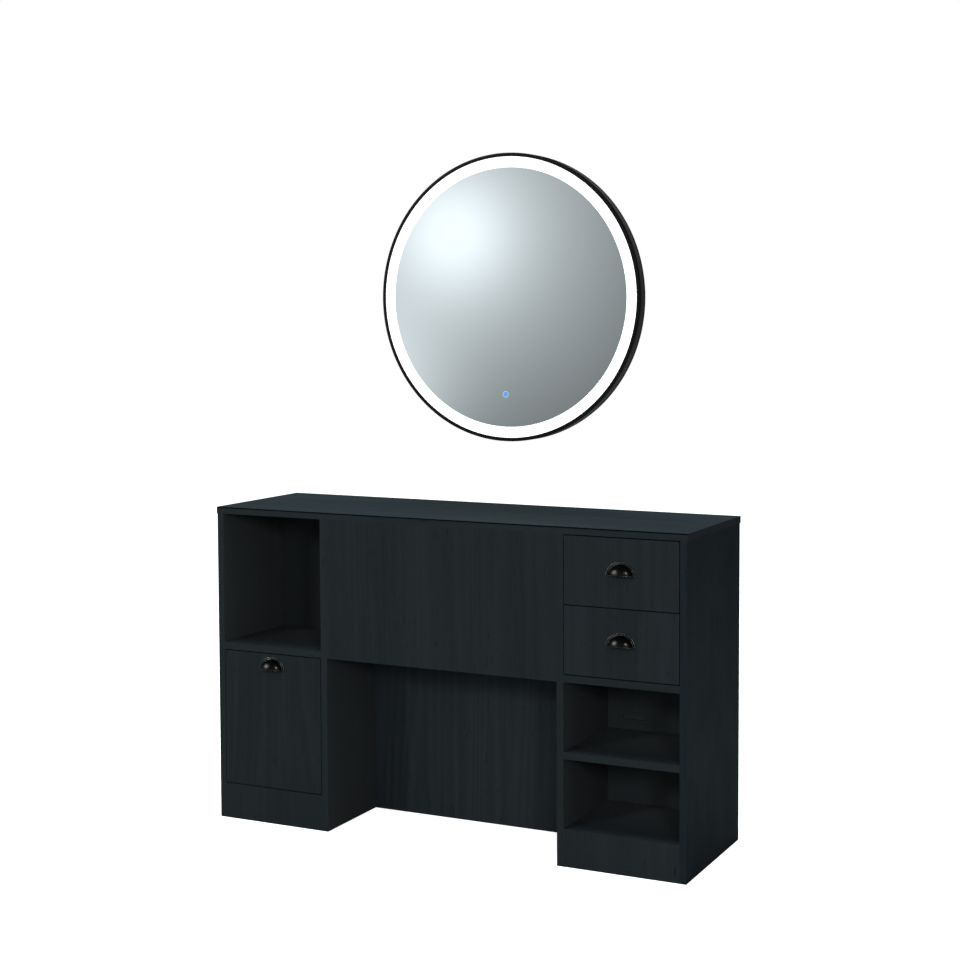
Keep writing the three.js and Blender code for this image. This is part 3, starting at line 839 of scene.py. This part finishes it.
def glassMaterial():
    material, tree, output = makeMaterial("silveredGlass")
    place = objectPlace(tree)
    marks = useGroup(tree, handlingGroup, {"Vector": place, "Size": 3.0, "Low": 0.015, "High": 0.035})
    addSurface(tree, output, {
        "Base Color": mixColor(tree, marks.outputs["Speckle"], mirror["glassColor"], mirror["glassSpeckle"]),
        "Metallic": 1.0, "Roughness": marks.outputs["Roughness"]})
    return material


def buildGlass():
    low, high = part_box("mirror_glass")
    radius = (high.x - low.x) / 2
    hub, edge = mirror["hub"], mirror["glassEdge"]
    profile = [(hub, low.y), (radius - edge, low.y), (radius, low.y + edge), (radius, high.y - edge),
               (radius - edge, high.y), (hub, high.y)]
    mesh = ringMesh("mirrorGlass", profile, (low + high) / 2, mirror["steps"], False)
    piece = newPiece("mirrorGlass", mesh, "table", glassMaterial(), smooth=False)
    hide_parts("mirror_glass")


def lightRingMaterial():
    material, tree, output = makeMaterial("litFrostedRing")
    place = objectPlace(tree)
    cloud = noise(tree, place, 35.0, 3.0)
    glow = mixColor(tree, cloud, (0.93, 0.97, 1.0, 1), (1.0, 1.0, 1.0, 1))
    addSurface(tree, output, {
        "Base Color": mixColor(tree, cloud, (0.86, 0.88, 0.9, 1), (0.9, 0.91, 0.92, 1)),
        "Roughness": remap(tree, cloud, 0.3, 0.7, 0.4, 0.5),
        "Emission Color": glow, "Emission Strength": mirror["ringGlow"]})
    return material


def buildLightRing():
    low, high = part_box("light_ring")
    glassLow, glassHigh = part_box("mirror_glass")
    outer = (high.x - low.x) / 2
    inner = (glassHigh.x - glassLow.x) / 2 + mirror["fit"]
    corners = [(inner, low.y), (outer, low.y), (outer, high.y), (inner, high.y)]
    outline = rounded(corners, mirror["ringCorner"], 3)
    mesh = ringMesh("lightRing", outline, (low + high) / 2, mirror["steps"])
    piece = newPiece("lightRing", mesh, "table", lightRingMaterial())
    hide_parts("light_ring")


def iconMaterial(name, color, strength):
    material, tree, output = makeMaterial(name)
    cloud = noise(tree, objectPlace(tree), 300.0, 2.0)
    paler = tuple(min(1.0, channel * 1.15) for channel in color[:3]) + (1,)
    addSurface(tree, output, {
        "Base Color": mixColor(tree, cloud, (0.02, 0.03, 0.05, 1), (0.03, 0.04, 0.06, 1)),
        "Roughness": remap(tree, cloud, 0.3, 0.7, 0.25, 0.35),
        "Emission Color": mixColor(tree, cloud, color, paler), "Emission Strength": strength})
    return material


icon = {
    "radius": 0.0078, "ringWidth": 0.0018, "gap": 0.0001, "rise": 0.0002, "seam": 0.001,
    "signRadii": (0.0021, 0.0030), "signArc": (130, 410), "bar": (0.0009, 0.0026), "barUp": 0.0022,
    "fieldHub": 0.0002, "fieldDrop": 0.00005,
}


def arcStrip(shape, center, radii, start, end, front, steps):
    # a thin flat strip bent round the centre, closed at its two ends
    inner, outer = radii
    back = front + icon["rise"]
    section = ((inner, front), (outer, front), (outer, back), (inner, back))
    rows = []
    for index in range(steps + 1):
        angle = start + (end - start) * index / steps
        rows.append([shape.verts.new((center.x + r * math.cos(angle), y, center.z + r * math.sin(angle)))
                     for r, y in section])
    for first, second in zip(rows, rows[1:]):
        for a in range(4):
            b = (a + 1) % 4
            shape.faces.new((first[a], first[b], second[b], second[a]))
    shape.faces.new(rows[0])
    shape.faces.new(list(reversed(rows[-1])))


def buildTouchIcon():
    # a lit ring with a power sign in it, etched through the silvering
    low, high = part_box("touch_sensor")
    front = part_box("mirror_glass")[0].y - icon["rise"]
    center = Vector(((low.x + high.x) / 2, front, (low.z + high.z) / 2))
    radius, ringInner = icon["radius"], icon["radius"] - icon["ringWidth"]
    around = 2 * math.pi - icon["seam"]

    def makeRing(shape):
        arcStrip(shape, center, (ringInner, radius), 0, around, front, 64)

    def makeSign(shape):
        start, end = (math.radians(angle) for angle in icon["signArc"])
        arcStrip(shape, center, icon["signRadii"], start, end, front, 28)
        spot = (center.x, front + icon["rise"] / 2, center.z + icon["barUp"])
        wide, tall = icon["bar"]
        bmesh.ops.create_cube(shape, size=1.0, matrix=(
            Matrix.Translation(spot) @ Matrix.Diagonal((wide, icon["rise"], tall, 1))))

    def makeField(shape):
        radii = (icon["fieldHub"], ringInner - icon["gap"])
        arcStrip(shape, center, radii, 0, around, front + icon["fieldDrop"], 48)

    for name, builder, color, strength in (
            ("Ring", makeRing, (0.27, 0.64, 0.9, 1), 0.95), ("Sign", makeSign, (0.26, 0.50, 0.84, 1), 0.9),
            ("Field", makeField, (0.09, 0.28, 0.70, 1), 0.9)):
        newPiece(f"touchIcon{name}", meshFrom(f"touchIcon{name}", builder), "table",
                 iconMaterial(f"icon{name}Light", color, strength), False)


buildMirrorFrame()
buildGlass()
buildLightRing()
buildTouchIcon()
print("mirror made")

# the brush that closes the cable outlet

brush = {
    "edge": 0.0063, "depth": 0.0045, "bristle": 0.0009, "pitch": 0.0011, "overlap": 0.0004,
    "rowGap": 0.0006, "uneven": (-0.0005, 0.0003), "stray": 0.0002, "lean": 0.03, "seed": 5,
}


def buildBrush():
    # two rows of bristles, rooted in the outlet's lower and upper walls, meet at its middle
    low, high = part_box("cable_outlet")
    draw = random.Random(brush["seed"])
    left, right = low.x + brush["edge"], high.x - brush["edge"]
    bottom, top = low.z + brush["edge"], high.z - brush["edge"]
    middle = (bottom + top) / 2

    def makeBristles(shape):
        count = int((right - left) / brush["pitch"])
        for index in range(count):
            x = left + (index + 0.5) * (right - left) / count
            for root, side in ((bottom, 1), (top, -1)):
                tip = middle + side * (brush["overlap"] + draw.uniform(*brush["uneven"]))
                y = low.y + brush["depth"] + side * brush["rowGap"]
                y += draw.uniform(-brush["stray"], brush["stray"])
                size = (brush["bristle"], brush["bristle"], abs(tip - root), 1)
                bmesh.ops.create_cube(shape, size=1.0, matrix=(
                    Matrix.Translation((x, y, (tip + root) / 2))
                    @ Matrix.Rotation(draw.uniform(-brush["lean"], brush["lean"]), 4, "Y")
                    @ Matrix.Diagonal(size)))

    mesh = meshFrom("cableBrush", makeBristles)
    newPiece("cableBrush", mesh, "table", brushMaterial, False)


buildBrush()
print("brush made")

# the diodes on the mirror's strip and the screws of its back plate, hanger and wall bracket

diode = {"count": 96, "side": 0.0028, "rise": 0.0007, "inset": 0.005}
screw = {
    "radius": 0.0032, "rise": 0.0012, "cross": 0.0034, "cut": 0.0007, "crossLift": 0.9, "crossDepth": 0.25,
    "plateCount": 8, "plateInset": 0.014, "barSteel": 0.00125,
    "hangerInset": 0.02, "hangerDrop": 0.012, "bracketInset": 0.03, "bracketRise": 0.014,
}


def buildDiodes():
    low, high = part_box("led_strip")
    center = (low + high) / 2
    radius = (high.x - low.x) / 2 - diode["inset"]

    def makeDiodes(shape):
        for index in range(diode["count"]):
            angle = 2 * math.pi * index / diode["count"]
            spot = (center.x + radius * math.cos(angle), low.y - diode["rise"] / 2,
                    center.z + radius * math.sin(angle))
            bmesh.ops.create_cube(shape, size=1.0, matrix=(
                Matrix.Translation(spot) @ Matrix.Rotation(-angle, 4, "Y")
                @ Matrix.Diagonal((diode["side"], diode["rise"], diode["side"], 1))))

    mesh = meshFrom("ledDiodes", makeDiodes)
    newPiece("ledDiodes", mesh, "table", lightRingMaterial(), False)


def buildScrews():
    # each spot is a head's middle and the way that it faces along Y
    spots = []
    low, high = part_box("mirror_back_plate")
    center, reach = (low + high) / 2, (high.x - low.x) / 2 - screw["plateInset"]
    for index in range(screw["plateCount"]):
        angle = 2 * math.pi * (index + 0.5) / screw["plateCount"]
        spots.append((center.x + reach * math.cos(angle), high.y, center.z + reach * math.sin(angle), 1))
    low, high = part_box("mirror_hanger")
    for x in (low.x + screw["hangerInset"], high.x - screw["hangerInset"]):
        spots.append((x, low.y + screw["barSteel"], high.z - screw["hangerDrop"], 1))
    low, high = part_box("mirror_wall_bracket")
    for x in (low.x + screw["bracketInset"], (low.x + high.x) / 2, high.x - screw["bracketInset"]):
        spots.append((x, high.y - screw["barSteel"], low.z + screw["bracketRise"], -1))

    def makeHeads(shape):
        for x, y, z, _ in spots:
            bmesh.ops.create_uvsphere(shape, u_segments=16, v_segments=8, radius=1.0, matrix=(
                Matrix.Translation((x, y, z))
                @ Matrix.Diagonal((screw["radius"], screw["rise"], screw["radius"], 1))))

    # the cross recesses are near-black boxes in the heads: painted shade where the recess lies
    def makeRecessShade(shape):
        lift, deep = screw["rise"] * screw["crossLift"], screw["rise"] * screw["crossDepth"]
        for x, y, z, side in spots:
            for wide, tall in ((screw["cross"], screw["cut"]), (screw["cut"], screw["cross"])):
                bmesh.ops.create_cube(shape, size=1.0, matrix=(
                    Matrix.Translation((x, y + side * lift, z)) @ Matrix.Diagonal((wide, deep, tall, 1))))

    newPiece("mirrorScrews", meshFrom("mirrorScrews", makeHeads), "table", zincMaterial)
    recessShade = meshFrom("mirrorScrewRecessShade", makeRecessShade)
    newPiece("mirrorScrewRecessShade", recessShade, "table", nearBlackStudAndRecessShade, False)


buildDiodes()
buildScrews()
print("diodes and screws made")

for steelNode in nodes:
    isSteel = "_runner_" in steelNode or steelNode.endswith("_pivot_hinge")
    if isSteel or steelNode in ("mirror_hanger", "mirror_wall_bracket"):
        dress(steelNode, zincMaterial)
        bevelled(nodes[steelNode], 0.0003)
for plasticNode in ("cable_gland", "touch_sensor"):
    dress(plasticNode, blackPlastic)
dress("cable_outlet", outletPlastic)
bevelled(nodes["cable_outlet"], 0.0006)
dress("led_driver", whitePlastic)
dress("led_strip", whitePlastic)
dress("mirror_back_plate", whiteSteel)
bevelled(nodes["led_driver"], 0.0015, 3)
print("fittings dressed")
